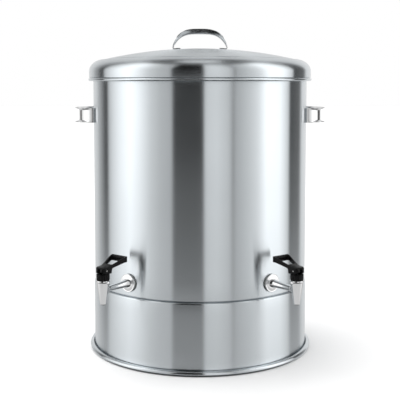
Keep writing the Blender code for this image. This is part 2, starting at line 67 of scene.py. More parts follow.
# Shader maths: an expression on wires adds the Math nodes it needs.
class Wire:
    def __init__(self, finish, socket):
        self.finish = finish
        self.socket = socket

    def math(self, operation, *values):
        sockets = dict(enumerate(values))
        return self.finish.node("Math", {"operation": operation}, sockets)

    def __add__(self, other):
        return self.math("ADD", self, other)

    def __sub__(self, other):
        return self.math("SUBTRACT", self, other)

    def __rsub__(self, other):
        return self.math("SUBTRACT", other, self)

    def __mul__(self, other):
        return self.math("MULTIPLY", self, other)

    def __truediv__(self, other):
        return self.math("DIVIDE", self, other)

    def __rtruediv__(self, other):
        return self.math("DIVIDE", other, self)

    def __pow__(self, other):
        return self.math("POWER", self, other)

    def __rpow__(self, other):
        return self.math("POWER", other, self)

    __radd__ = __add__
    __rmul__ = __mul__


class Finish:
    # One procedural material. The shader's constants are set on its own sockets.
    def __init__(self, name, **constants):
        self.material = bpy.data.materials.new(name)
        self.material.use_nodes = True
        self.tree = self.material.node_tree
        self.shader = self.tree.nodes["Principled BSDF"]
        self.set(**constants)

    def set(self, **values):
        for name, value in values.items():
            socket = self.shader.inputs[name.replace("_", " ")]
            if isinstance(value, Wire):
                self.tree.links.new(value.socket, socket)
            else:
                socket.default_value = value

    def node(self, kind, settings=(), sockets=(), out=0):
        made = self.tree.nodes.new("ShaderNode" + kind)
        for name, value in dict(settings).items():
            if name == "stops":
                self.fillRamp(made.color_ramp, value)
            else:
                setattr(made, name, value)
        for name, value in dict(sockets).items():
            if isinstance(value, Wire):
                self.tree.links.new(value.socket, made.inputs[name])
            else:
                made.inputs[name].default_value = value
        return Wire(self, made.outputs[out])

    def fillRamp(self, ramp, stops):
        while len(ramp.elements) > 1:
            ramp.elements.remove(ramp.elements[-1])
        ramp.elements[0].position = stops[0][0]
        for position, grey in stops[1:]:
            ramp.elements.new(position)
        for element, (position, grey) in zip(ramp.elements, stops):
            element.color = (grey, grey, grey, 1)

    def place(self):
        return self.node("TexCoord", out="Object")

    def split(self, vector):
        outputs = self.node("SeparateXYZ", {}, {0: vector}).socket.node.outputs
        return [Wire(self, socket) for socket in outputs]

    def noise(self, vector, scale, detail=4.0, roughness=0.5):
        return self.node("TexNoise", {}, {"Vector": vector, "Scale": scale,
                                          "Detail": detail, "Roughness": roughness})

    def spread(self, value, low, high):
        # 0 below low, 1 above high
        return self.node("MapRange", {}, {"Value": value, "From Min": low, "From Max": high})

    def tint(self, share, first, second):
        return self.node("Mix", {"data_type": "RGBA"},
                         {0: share, 6: (*first, 1), 7: (*second, 1)}, out=2)

    def bump(self, height, strength, distance, onTop=None):
        sockets = {"Height": height, "Strength": strength, "Distance": distance}
        if onTop:
            sockets["Normal"] = onTop
        return self.node("Bump", {}, sockets)


def spunSteel(name, look):
    # Sheet brushed on a lathe: the lines run round the urn's axis, on walls and domes alike.
    finish = Finish(name, Metallic=1.0, Anisotropic=look["anisotropy"],
                    Anisotropic_Rotation=0.25)
    shifted = finish.node("VectorMath", {"operation": "SUBTRACT"},
                          {0: finish.place(), 1: (0, axisY, 0)})
    x, y, z = finish.split(shifted)
    radius = (x * x + y * y + 1e-7) ** 0.5  # never nought, as it divides below
    along = z - radius
    ring = finish.node("CombineXYZ", {}, {0: x / radius * look["streak"],
                                          1: y / radius * look["streak"],
                                          2: along * look["lines"]})
    grain = finish.noise(ring, 1.0, 8.0, 0.62)
    fineRing = finish.node("VectorMath", {"operation": "SCALE"}, {0: ring, "Scale": 5.3})
    fine = finish.noise(fineRing, 1.0, 3.0, 0.6)
    cloud = finish.noise(shifted, look["cloud"], 3.0, 0.55)
    wiped = finish.noise(shifted, look["cloud"] * 4.5, 4.0, 0.6)
    finish.set(
        Base_Color=finish.tint(grain * 0.7 + fine * 0.3, look["dark"], look["light"]),
        Roughness=(grain - 0.5) * look["grainRoughness"] + (cloud - 0.5) * 0.10
        + finish.spread(wiped, 0.62, 0.78) * look["smudge"] + look["roughness"],
        Normal=finish.bump(grain * 0.6 + fine * 0.4, look["bump"], 0.0002))
    return finish.material


def polishedSteel(name, look):
    # Bright metal with faint waviness from the press or the casting, and hairline scratches.
    finish = Finish(name, Metallic=1.0)
    place = finish.place()
    wave = finish.noise(place, look["wave"], 2.0, 0.4)
    stretched = finish.node("VectorMath", {"operation": "MULTIPLY"}, {0: place, 1: look["grain"]})
    hair = finish.noise(stretched, 1.0, 5.0, 0.65)
    film = finish.noise(place, look["wave"] * 0.4, 3.0, 0.6)
    finish.set(
        Base_Color=finish.tint(hair * 0.5 + film * 0.5, look["dark"], look["light"]),
        Roughness=(film - 0.5) * look["film"] + finish.spread(hair, 0.6, 0.8) * look["scratch"]
        + look["roughness"],
        Normal=finish.bump(hair, look["hairBump"], 0.0001,
                           finish.bump(wave, look["waveBump"], 0.0004)))
    return finish.material


def mouldedPlastic(name, look):
    # Black plastic with a fine eroded mould texture, rubbed glossier in patches.
    finish = Finish(name, Metallic=0.0, Specular_IOR_Level=0.14, IOR=1.49)
    place = finish.place()
    texture = finish.noise(place, look["texture"], 3.0, 0.55)
    rubbed = finish.noise(place, look["rubbed"], 3.0, 0.5)
    polish = finish.spread(rubbed, 0.42, 0.66)
    dust = finish.spread(finish.noise(place, look["rubbed"] * 7, 5.0, 0.7), 0.6, 0.85)
    finish.set(
        Base_Color=finish.tint(dust * 0.6 + texture * 0.25, look["dark"], look["light"]),
        Roughness=(1 - polish) * 0.12 + texture * 0.08 + dust * 0.15 + look["roughness"],
        Normal=finish.bump(texture, look["bump"], 0.0001))
    return finish.material


def softRubber(name, look):
    finish = Finish(name, Metallic=0.0, IOR=1.41, Specular_IOR_Level=0.4)
    place = finish.place()
    bloom = finish.noise(place, 180.0, 4.0, 0.6)
    specks = finish.noise(place, 2600.0, 2.0, 0.5)
    finish.set(
        Base_Color=finish.tint(bloom * 0.7 + specks * 0.3, look["dark"], look["light"]),
        Roughness=(bloom - 0.5) * 0.2 + look["roughness"],
        Normal=finish.bump(specks, 0.15, 0.0001))
    return finish.material


def rigidFoam(name, look):
    # Poured foam: open cells of a few tenths of a millimetre and darker flow patches.
    finish = Finish(name, Metallic=0.0, Roughness=0.9)
    place = finish.place()
    cells = finish.node("TexVoronoi", {}, {"Vector": place, "Scale": look["cells"]})
    flow = finish.noise(place, 22.0, 4.0, 0.6)
    finish.set(
        Base_Color=finish.tint(flow * 0.7 + cells * 0.3, look["dark"], look["light"]),
        Normal=finish.bump(cells, 0.6, 0.0006))
    return finish.material


brushed = {"anisotropy": 1.0, "roughness": 0.22, "streak": 5.0, "lines": 900.0, "cloud": 7.0,
           "grainRoughness": 0.08, "smudge": 0.02, "bump": 0.04,
           "dark": (0.66, 0.705, 0.735), "light": (0.76, 0.80, 0.825)}
finishes = {
    "brushed_steel": spunSteel("brushedSteel", brushed),
    "tank_steel": spunSteel("tankSteel", {**brushed, "roughness": 0.34, "cloud": 11.0,
                                          "smudge": 0.06, "dark": (0.60, 0.61, 0.62),
                                          "light": (0.74, 0.745, 0.75)}),
    "handle_steel": polishedSteel("handleSteel", {
        "wave": 60.0, "grain": (60.0, 900.0, 900.0), "film": 0.10, "scratch": 0.10,
        "roughness": 0.11, "hairBump": 0.04, "waveBump": 0.04,
        "dark": (0.70, 0.705, 0.71), "light": (0.84, 0.845, 0.85)}),
    "bright_steel": polishedSteel("machinedSteel", {
        "wave": 200.0, "grain": (300.0, 300.0, 3000.0), "film": 0.12, "scratch": 0.12,
        "roughness": 0.20, "hairBump": 0.08, "waveBump": 0.03,
        "dark": (0.58, 0.575, 0.56), "light": (0.76, 0.755, 0.74)}),
    "chrome": polishedSteel("chromePlate", {
        "wave": 160.0, "grain": (700.0, 700.0, 1400.0), "film": 0.06, "scratch": 0.06,
        "roughness": 0.07, "hairBump": 0.02, "waveBump": 0.10,
        "dark": (0.78, 0.785, 0.79), "light": (0.90, 0.905, 0.91)}),
    "black_plastic": mouldedPlastic("blackPlastic", {
        "texture": 2400.0, "rubbed": 90.0, "roughness": 0.18, "bump": 0.10,
        "dark": (0.0012, 0.0012, 0.0014), "light": (0.008, 0.008, 0.0085)}),
    "silicone": softRubber("silicone", {
        "roughness": 0.5, "dark": (0.62, 0.61, 0.57), "light": (0.78, 0.77, 0.73)}),
    "foam": rigidFoam("insulationFoam", {
        "cells": 900.0, "dark": (0.72, 0.62, 0.40), "light": (0.88, 0.82, 0.64)}),
}
print("finishes made:", len(finishes))


def smoothed(mesh, upTo):
    mesh.shade_smooth()
    mesh.set_sharp_from_angle(angle=math.radians(upTo))
    return mesh


def finishMesh(name, shape, smoothUpTo=35):
    bmesh.ops.recalc_face_normals(shape, faces=shape.faces)
    mesh = bpy.data.meshes.new(name)
    shape.to_mesh(mesh)
    shape.free()
    return smoothed(mesh, smoothUpTo)


def looseObject(name, data):
    thing = bpy.data.objects.new(name, data)
    bpy.context.scene.collection.objects.link(thing)
    return thing


def dropAll(objects):
    for thing in objects:
        bpy.data.objects.remove(thing, do_unlink=True)


def applied(thing):
    # The thing's mesh with its modifiers applied.
    bpy.context.view_layer.update()
    graph = bpy.context.evaluated_depsgraph_get()
    return bpy.data.meshes.new_from_object(thing.evaluated_get(graph))


def addPiece(name, mesh, body, slot, stands, where=None):
    piece = looseObject(name, mesh)
    piece.data.materials.clear()
    piece.data.materials.append(finishes[slot])
    if where:
        piece.matrix_world = where
    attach(piece, body)
    if stands:
        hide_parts(*stands)
    return piece


# Outlines are lists of (radius, z) points.
def arc(centre, radius, start, end, steps, rise=None):
    # Points of an arc, or with its own rise those of an ellipse; angles in degrees.
    rise = radius if rise is None else rise
    turns = [math.radians(start + (end - start) * i / steps) for i in range(steps + 1)]
    return [(centre[0] + radius * math.cos(a), centre[1] + rise * math.sin(a)) for a in turns]


def clean(points):
    # Drops points that lie on the one before.
    kept = [points[0]]
    for point in points[1:]:
        if math.dist(point, kept[-1]) > 2e-5:
            kept.append(point)
    return kept


def behind(points, thickness):
    # The same line shifted to its right-hand side, with mitred corners.
    shifted = []
    for i, (r, z) in enumerate(points):
        before = points[max(i - 1, 0)]
        after = points[min(i + 1, len(points) - 1)]
        normals = []
        for a, b in ((before, (r, z)), ((r, z), after)):
            run = math.dist(a, b)
            if run:
                normals.append(((b[1] - a[1]) / run, (a[0] - b[0]) / run))
        nx = sum(n[0] for n in normals) / len(normals)
        nz = sum(n[1] for n in normals) / len(normals)
        scale = thickness / max(nx * nx + nz * nz, 0.25)
        shifted.append((max(r + nx * scale, 0.0), z + nz * scale))
    return shifted


def revolve(profile, segments, closed, waves=None):
    # Turns a profile about Z. waves(radius, z, angle) may move a point in or out.
    shape = bmesh.new()
    rings = []
    for r, z in profile:
        if r < 1e-6:
            rings.append([shape.verts.new((0, 0, z))])
            continue
        ring = []
        for i in range(segments):
            angle = 2 * math.pi * i / segments
            reach = r + (waves(r, z, angle) if waves else 0)
            ring.append(shape.verts.new((reach * math.cos(angle), reach * math.sin(angle), z)))
        rings.append(ring)
    pairs = list(zip(rings, rings[1:] + ([rings[0]] if closed else [])))
    for low, high in pairs[:len(rings) if closed else len(rings) - 1]:
        for i in range(segments):
            j = (i + 1) % segments
            corners = [low[i % len(low)], low[j % len(low)], high[j % len(high)], high[i % len(high)]]
            corners = list(dict.fromkeys(corners))
            if len(corners) > 2:
                shape.faces.new(corners)
    return shape


def spunSheet(name, line, body, slot, stands, back=None, segments=192, thickness=sheet):
    # Sheet metal spun to a line; the thickness lies to the line's right.
    line = clean(line)
    profile = line + list(reversed(back or behind(line, thickness)))
    shape = revolve(profile, segments, True)
    bmesh.ops.remove_doubles(shape, verts=shape.verts, dist=1e-6)
    bmesh.ops.translate(shape, vec=(0, axisY, 0), verts=shape.verts)
    return addPiece(name, finishMesh(name, shape), body, slot, stands)


def withHoles(piece, cutters):
    # Cuts the tap holes through a wall.
    for cutter in cutters:
        cut = piece.modifiers.new("Hole", "BOOLEAN")
        cut.object = cutter
        cut.solver = "EXACT"
    mesh = applied(piece)
    piece.modifiers.clear()
    piece.data = mesh
    mesh.set_sharp_from_angle(angle=math.radians(35))


# The taps. Heights are from the shank's centre.
tap = {
    "pivotRise": 0.031,         # shank centre up to the pivot pin
    "spoutTop": 0.0155,
    "spoutTopRadius": 0.0112,
    "collar": 0.0019,           # depth of the collar round the spout's mouth
    "spoutBottom": -0.0245,
    "spoutBottomRadius": 0.0053,
    "tipRound": 0.0015,
    "earReach": 0.0132,
    "chamberRadius": 0.0072,
    "seat": -0.004,
    "outletRadius": 0.0040,
    "shankStart": 0.0049,
    "shankEnd": 0.00705,
    "shankBore": 0.0030,
    "tailRadius": 0.0060,
    "tailClearance": 0.0003,    # round the shank, in all that is threaded on it
    "threadPitch": 0.0015,
    "threadDepth": 0.0006,
    "flangeRadius": 0.0152,
    "flangeThickness": 0.0025,
    "gasketRadius": 0.0130,
    "gasketThickness": 0.0015,
    "nutFlats": 0.024,
    "nutThickness": 0.007,
    "spacerRadius": 0.009,
    "bonnetRadius": 0.0105,
    "bonnetTop": 0.026,
    "flutes": 20,
    "fluteDepth": 0.00055,
    "pinRadius": 0.00125,
    "pinHoleRadius": 0.00135,
}
# Each tap stands under its lever's hinge, whose axis is the tap's own X.
tapFrames = {}
for joint in frame["joints"]:
    if joint["name"].endswith("lever_tilt"):
        px, py, pz = joint["pos_m"]
        turn = math.atan2(joint["axis"][1], joint["axis"][0])
        side = joint["name"].split("_")[0]
        tapFrames[side] = (Matrix.Translation((px, py, pz - tap["pivotRise"]))
                           @ Matrix.Rotation(turn, 4, "Z"))
        spoutFromAxis = math.hypot(px, py - axisY)


alongShank = Matrix.Rotation(-math.pi / 2, 4, "X")  # turned pieces laid along the tap's Y


def holeCutters(radius):
    # Rods through both walls, one for each tap.
    start, end = 0.03, 0.12
    cutters = []
    for where in tapFrames.values():
        shape = bmesh.new()
        bmesh.ops.create_cone(shape, cap_ends=True, segments=48, radius1=radius, radius2=radius,
                              depth=end - start,
                              matrix=alongShank @ Matrix.Translation((0, 0, (start + end) / 2)))
        mesh = bpy.data.meshes.new("cutter")
        shape.to_mesh(mesh)
        shape.free()
        cutter = looseObject("cutter", mesh)
        cutter.matrix_world = where
        cutters.append(cutter)
    return cutters


# The drum: jacket, tank, foam and base.
drum = {
    "insulation": 0.014,
    "tankFloor": 0.126,
    "tankCorner": 0.006,
    "rimRound": 0.004,
    "rimBeadHeight": 0.0055,
    "seamRound": 0.003,
    "seamFlange": 0.0055,
    "skirtStep": 0.0012,        # the skirt stands out past the jacket
    "footBeadInside": 0.00355,
    "footBeadTurn": 288,        # degrees that the foot bead is curled through
    "baseFoam": 0.025,
}
seamTop = jacketLow.z
jacketInner = shellRadius - sheet
tankOuter = jacketInner - drum["insulation"]
tankInner = tankOuter - sheet
seamInner = shellRadius - drum["seamRound"] - drum["seamFlange"]
wallHoles = holeCutters(tap["tailRadius"] + 2 * tap["tailClearance"])

line = [(shellRadius, jacketHigh.z)]
wallDrop = seamTop + drum["seamRound"] - jacketHigh.z
line += [(shellRadius, jacketHigh.z + wallDrop * i / 12) for i in range(1, 12)]
line += arc((shellRadius - drum["seamRound"], seamTop + drum["seamRound"]),
            drum["seamRound"], 0, -90, 8)
line.append((seamInner, seamTop))
jacket = spunSheet("outerJacket", line, "root", "brushed_steel", ["outer_jacket"],
                   segments=240)
withHoles(jacket, wallHoles)

beadRadius = drum["rimBeadHeight"] / 2
beadCentre = ((tankHigh.x - tankLow.x) / 2 - beadRadius, rimHeight - beadRadius)
line = [(0, drum["tankFloor"]), (tankInner * 0.5, drum["tankFloor"])]
line += arc((tankInner - drum["tankCorner"], drum["tankFloor"] + drum["tankCorner"]),
            drum["tankCorner"], -90, 0, 8)
line += arc((tankInner + drum["rimRound"], rimHeight - drum["rimRound"]),
            drum["rimRound"], 180, 90, 6)
line += arc(beadCentre, beadRadius, 90, -90, 12)
line.append((shellRadius + sheet, rimHeight - drum["rimBeadHeight"]))
back = [(0, drum["tankFloor"] - sheet), (tankInner * 0.5, drum["tankFloor"] - sheet)]
back += arc((tankInner - drum["tankCorner"], drum["tankFloor"] + drum["tankCorner"]),
            drum["tankCorner"] + sheet, -90, 0, 8)
back += arc((tankInner + drum["rimRound"], rimHeight - drum["rimRound"]),
            drum["rimRound"] - sheet, 180, 90, 6)
back += arc(beadCentre, beadRadius - sheet, 90, -90, 12)
back.append((shellRadius + sheet, rimHeight - drum["rimBeadHeight"] + sheet))
tank = spunSheet("innerTank", line, "root", "tank_steel", ["inner_tank"], back, 240)
withHoles(tank, wallHoles)
# The rolled rim shows outside, so it has the outside's finish.
tank.data.materials.append(finishes["brushed_steel"])
for face in tank.data.polygons:
    centre = face.center
    if math.hypot(centre.x, centre.y - axisY) > shellRadius - drum["rimRound"]:
        face.material_index = 1

facet = math.radians(18)  # half a facet of the CAD's bead, which stands on a level one
skirtRadius = shellRadius + drum["skirtStep"]
curl = drum["footBeadInside"]
curlCentre = (skirtRadius + curl, curl * math.cos(facet) + sheet)
line = [(seamInner, seamUnder)]
line += arc((skirtRadius - drum["seamRound"], seamUnder - drum["seamRound"]),
            drum["seamRound"], 90, 0, 8)
line += [(skirtRadius, seamUnder - 0.02 * i) for i in range(1, 6)]
line.append((skirtRadius, curlCentre[1]))
line += arc(curlCentre, curl, 180, 180 + drum["footBeadTurn"], 28)[1:]
back = behind(clean(line), sheet)
spunSheet("baseSkirt", line, "root", "brushed_steel", ["base_skirt"],
          [(r, max(z, 0.0)) for r, z in back], 240)

panDish = seamInner - 0.001 - sheet
panFloor = drum["tankFloor"] - sheet - gap - drum["baseFoam"] - gap
panFlange = seamTop + 2 * sheet + gap
line = [(0, panFloor), (panDish * 0.5, panFloor)]
line += arc((panDish - drum["tankCorner"], panFloor + drum["tankCorner"]),
            drum["tankCorner"], -90, 0, 8)
line += [(panDish, panFlange), (shellRadius - drum["seamRound"], panFlange)]
spunSheet("basePan", line, "root", "tank_steel", ["base_pan"])


def foamBlock(name, profile, stands, body, closed):
    shape = revolve(profile, 128, closed)
    bmesh.ops.translate(shape, vec=(0, axisY, 0), verts=shape.verts)
    return addPiece(name, finishMesh(name, shape), body, "foam", stands)


foamTop = rimHeight - drum["rimRound"] - gap
foamLow = drum["tankFloor"] - sheet
side = foamBlock("sideInsulation", [
    (jacketInner - gap, foamTop), (jacketInner - gap, foamLow),
    (tankOuter + gap, foamLow), (tankOuter + gap, foamTop)], ["side_insulation"], "root", True)
foamHoles = holeCutters(tap["spacerRadius"] + gap)
withHoles(side, foamHoles)
edge = panDish - gap
foamBlock("baseInsulation", [
    (0, foamLow - gap), (edge, foamLow - gap),
    (edge, panFloor + gap + drum["tankCorner"]),
    (edge - drum["tankCorner"], panFloor + gap), (0, panFloor + gap)],
    ["base_insulation"], "root", False)
print("drum made")


# The lid: a domed shell with a ring crease, over a pan that plugs the rim.
lid = {
    "wall": 0.011,
    "shoulderWidth": 0.027,
    "shoulderHeight": 0.0215,
    "domeRise": 0.0193,
    "creaseWidth": 0.0034,
    "creaseDepth": 0.0013,
    "hem": 0.0065,
    "hemRound": 0.0006,
    "plugDepth": 0.012,
    "plugClearance": 0.0015,
    "plugRound": 0.003,
}
lidRadius = (lidHigh.x - lidLow.x) / 2
lidBase = lidLow.z
creaseRadius = lidRadius - lid["shoulderWidth"]
creaseHeight = lidBase + lid["wall"] + lid["shoulderHeight"]
domeRadius = (creaseRadius ** 2 + lid["domeRise"] ** 2) / (2 * lid["domeRise"])


def domeHeight(radius):
    return creaseHeight + lid["domeRise"] - domeRadius + math.sqrt(domeRadius ** 2 - radius ** 2)


domeEdge = creaseRadius - lid["creaseWidth"]
line = [(domeEdge * i / 20, domeHeight(domeEdge * i / 20)) for i in range(21)]
dip = lid["creaseDepth"]
for i in range(1, 8):
    share = i / 8
    low = dip * math.sin(math.pi * share) ** 2
    line.append((domeEdge + lid["creaseWidth"] * share,
                 domeHeight(domeEdge) * (1 - share) + creaseHeight * share - low))
line += arc((creaseRadius, lidBase + lid["wall"]), lid["shoulderWidth"], 90, 0, 20,
            lid["shoulderHeight"])
hemRound = lid["hemRound"]
line += arc((lidRadius - hemRound, lidBase + hemRound), hemRound, 0, -90, 4)
line.append((lidRadius - lid["hem"], lidBase))
spunSheet("lidShell", line, "lid", "brushed_steel", ["lid_shell"], segments=240)

plugFloor = lidBase - lid["plugDepth"]
plugWall = tankInner - lid["plugClearance"] - sheet
plugFlange = lidBase + 2 * sheet + gap
line = [(0, plugFloor), (plugWall * 0.5, plugFloor)]
line += arc((plugWall - lid["plugRound"], plugFloor + lid["plugRound"]),
            lid["plugRound"], -90, 0, 8)
line += [(plugWall, plugFlange), (lidRadius - sheet - gap, plugFlange)]
spunSheet("lidPan", line, "lid", "tank_steel", ["lid_pan"])

clearOfShell = 2 * sheet + lid["creaseDepth"]
ledge = plugFlange + gap
shoulder = creaseRadius + lid["shoulderWidth"] / 2
wall = plugWall - gap
block = [(creaseRadius * s, domeHeight(creaseRadius * s) - clearOfShell)
         for s in (0, 0.2, 0.4, 0.6, 0.8)]
block += [
    (creaseRadius - lid["creaseWidth"], creaseHeight - clearOfShell),
    (creaseRadius, creaseHeight - clearOfShell),
    (shoulder, lidBase + lid["wall"] + lid["shoulderHeight"] / 2),
    (shoulder, ledge),
    (wall, ledge),
    (wall, plugFloor + gap + lid["plugRound"]),
    (wall - lid["plugRound"], plugFloor + gap),
    (0, plugFloor + gap)]
foamBlock("lidInsulation", block, ["lid_insulation"], "lid", False)
print("lid made")


# Strap handles, pressed from strip and spot welded by tabs turned in under the grip.
strap = {
    "halfSpan": 0.048,
    "width": 0.025,
    "thickness": 0.0015,
    "tab": 0.013,
    "web": 0.0172,
    "lip": 0.008,
    "lipFoot": 0.0016,
    "lipFootRise": 0.0018,
    "edgeInset": 0.0003,
    "reachEase": 0.56,
    "riseEase": 1.67,
    "pressEase": 1.5,
    "bend": 0.00225,
    "sideStandOff": 0.024,
    "lidStandOff": 0.0255,
    "sideDrop": 0.065,
    "weldRadius": 0.0022,
}


def strapPath(seatRadius, standOff):
    half = strap["halfSpan"]
    lift = gap + strap["thickness"] / 2

    def seat(x):
        return math.sqrt(seatRadius ** 2 - x ** 2) - seatRadius + lift

    foot = seat(half)
    rise = standOff + strap["thickness"] / 2 - foot
    bend = strap["bend"]
    steps = 30
    path = [(0, foot + rise)]
    for i in range(steps):
        reach = (i + 1) / (steps + 1)
        angle = math.acos(reach ** (1 / strap["reachEase"]))
        path.append((half * reach,
                     foot + bend + (rise - bend) * math.sin(angle) ** strap["riseEase"]))
    path += [(half - bend + bend * math.cos(a), foot + bend - bend * math.sin(a))
             for a in (math.radians(d) for d in range(0, 91, 15))]
    inner = half - bend
    end = half - strap["tab"]
    path += [(inner + (end - inner) * i / 6, seat(inner + (end - inner) * i / 6))
             for i in range(1, 7)]
    return path, foot, rise


def strapSection(share):
    # Across the strap, as (across, raised): flat at share 0, with flared lips at share 1.
    half = strap["width"] / 2
    web = strap["web"] / 2
    foot = web + strap["lipFoot"]
    top = half - strap["edgeInset"]
    flat = [half, half - 0.0007, (half + foot) / 2, foot, (foot + web) / 2, web, web / 2, 0]
    pressed = [top, top - 0.0001, (top + foot) / 2 + 0.0004, foot, (foot + web) / 2 + 0.0002,
               web - 0.0006, web / 2, 0]
    raised = [strap["lip"], strap["lip"] - 0.0008, strap["lip"] * 0.55, strap["lipFootRise"],
              strap["lipFootRise"] * 0.4, 0, 0, 0]
    section = [(f + (p - f) * share, r * share) for f, p, r in zip(flat, pressed, raised)]
    return section + [(-across, lift) for across, lift in reversed(section[:-1])]


def strapHandle(name, seatRadius, standOff, where, body, node):
    half, foot, rise = strapPath(seatRadius, standOff)
    path = [(-x, z) for x, z in reversed(half)] + half[1:]
    rows = len(path)
    shape = bmesh.new()
    rings = []
    for row, (x, z) in enumerate(path):
        before = path[max(row - 1, 0)]
        after = path[min(row + 1, rows - 1)]
        run = math.dist(before, after)
        out = Vector((-(after[1] - before[1]) / run, 0, (after[0] - before[0]) / run))
        share = 0.0
        if abs(x) < strap["halfSpan"]:
            share = max(0.0, (z - foot) / rise) ** strap["pressEase"]
        section = strapSection(share)
        place = Vector((x, 0, z))
        # Both faces of the strip, joined by rounded edges.
        faces = []
        for i, (across, raised) in enumerate(section):
            a = section[max(i - 1, 0)]
            b = section[min(i + 1, len(section) - 1)]
            length = math.dist(a, b)
            normal = Vector((0, -(b[1] - a[1]) / length, 0)) + out * ((b[0] - a[0]) / -length)
            centre = place + Vector((0, -across, 0)) + out * raised
            faces.append((centre, normal * strap["thickness"] / 2))
        ring = [centre - shift for centre, shift in faces]
        for end in (len(faces) - 1, 0):
            centre, shift = faces[end]
            inward = (faces[end][0] - faces[end - 1 if end else 1][0]).normalized()
            bulge = inward * strap["thickness"] * 0.3
            ring.append(centre + bulge + shift * (-0.5 if end else 0.5))
            ring.append(centre + bulge + shift * (0.5 if end else -0.5))
            if end:
                ring += [c + s for c, s in reversed(faces)]
        rings.append([shape.verts.new(point) for point in ring])
    count = len(rings[0])
    for low, high in zip(rings, rings[1:]):
        for i in range(count):
            shape.faces.new([low[i], low[(i + 1) % count], high[(i + 1) % count], high[i]])
    shape.faces.new(rings[0])
    shape.faces.new(list(reversed(rings[-1])))
    bmesh.ops.remove_doubles(shape, verts=shape.verts, dist=1e-6)
    addPiece(name, finishMesh(name, shape, 40), body, "handle_steel", [node], where)
    # Two spot welds on each tab.
    for end in (-1, 1):
        for acrossBy in (-1, 1):
            x = end * (strap["halfSpan"] - strap["tab"] * 0.55)
            seatHeight = math.sqrt(seatRadius ** 2 - x ** 2) - seatRadius + gap
            top = seatHeight + strap["thickness"]
            dimple = [(0, 0.00012), (strap["weldRadius"] * 0.55, 0.00010),
                      (strap["weldRadius"] * 0.8, 0.00028), (strap["weldRadius"], 0.0)]
            spot = revolve(dimple + [(strap["weldRadius"], -0.0004), (0, -0.0004)], 32, False)
            lean = Matrix.Rotation(math.asin(x / seatRadius), 4, "Y")
            at = Matrix.Translation((x, acrossBy * strap["width"] * 0.24, top))
            tag = name + "Weld" + ("A" if end < 0 else "B") + ("1" if acrossBy < 0 else "2")
            addPiece(tag, finishMesh(tag, spot), body, "handle_steel", [], where @ at @ lean)


for sideName, sign in (("left", -1), ("right", 1)):
    where = (Matrix.Translation((sign * shellRadius, axisY, rimHeight - strap["sideDrop"]))
             @ Matrix.Rotation(sign * math.pi / 2, 4, "Z") @ Matrix.Rotation(math.pi / 2, 4, "X"))
    strapHandle(sideName + "SideHandle", shellRadius, strap["sideStandOff"], where, "root",
                sideName + "_side_handle")
strapHandle("lidHandle", domeRadius, strap["lidStandOff"],
            Matrix.Translation((0, axisY, domeHeight(0))), "lid", "lid_handle")
print("handles made")


def wallNear(radius, halfWidth):
    # From the spout's axis to a round wall, where a piece this wide meets it.
    return spoutFromAxis - math.sqrt(radius ** 2 - halfWidth ** 2)


facetShare = math.cos(math.pi / 40)  # how far in the middle of a facet of the CAD's wall lies
# Where each piece on the shank begins and ends, from the spout's axis towards the tank.
stack = {"gasketBack": wallNear(shellRadius, 0) - gap}
stack["gasketFront"] = stack["gasketBack"] - tap["gasketThickness"]
stack["flangeBack"] = stack["gasketFront"] - gap
stack["flangeFront"] = stack["flangeBack"] - tap["flangeThickness"]
stack["shoulder"] = stack["flangeFront"] - gap
stack["spacerFront"] = wallNear(jacketInner * facetShare, tap["spacerRadius"]) + gap
stack["spacerBack"] = wallNear(tankOuter, 0) - gap
stack["innerFront"] = wallNear(tankInner * facetShare, tap["gasketRadius"]) + gap
stack["innerBack"] = stack["innerFront"] + tap["gasketThickness"]
stack["nutFront"] = stack["innerBack"] + gap
stack["nutBack"] = stack["nutFront"] + tap["nutThickness"]
stack["tailEnd"] = stack["nutBack"] + 0.002


def joined(name, first, rest):
    # Applies booleans: rest is a list of (object, operation).
    for other, operation in rest:
        step = first.modifiers.new("Step", "BOOLEAN")
        step.object = other
        step.operation = operation
        step.solver = "EXACT"
    mesh = applied(first)
    mesh.name = name
    dropAll([first] + [other for other, operation in rest])
    return smoothed(mesh, 32)


def turnedObject(name, profile, segments=64, matrix=None, closed=False):
    shape = revolve(clean(profile), segments, closed)
    bmesh.ops.remove_doubles(shape, verts=shape.verts, dist=1e-6)
    if matrix:
        bmesh.ops.transform(shape, matrix=matrix, verts=shape.verts)
    return looseObject(name, finishMesh(name, shape))


def roundedBox(name, size, centre, radius):
    shape = bmesh.new()
    bmesh.ops.create_cube(shape, size=1)
    bmesh.ops.scale(shape, vec=size, verts=shape.verts)
    bmesh.ops.bevel(shape, geom=shape.edges[:], offset=radius, segments=4, profile=0.5,
                    affect="EDGES")
    bmesh.ops.translate(shape, vec=centre, verts=shape.verts)
    return looseObject(name, finishMesh(name, shape))


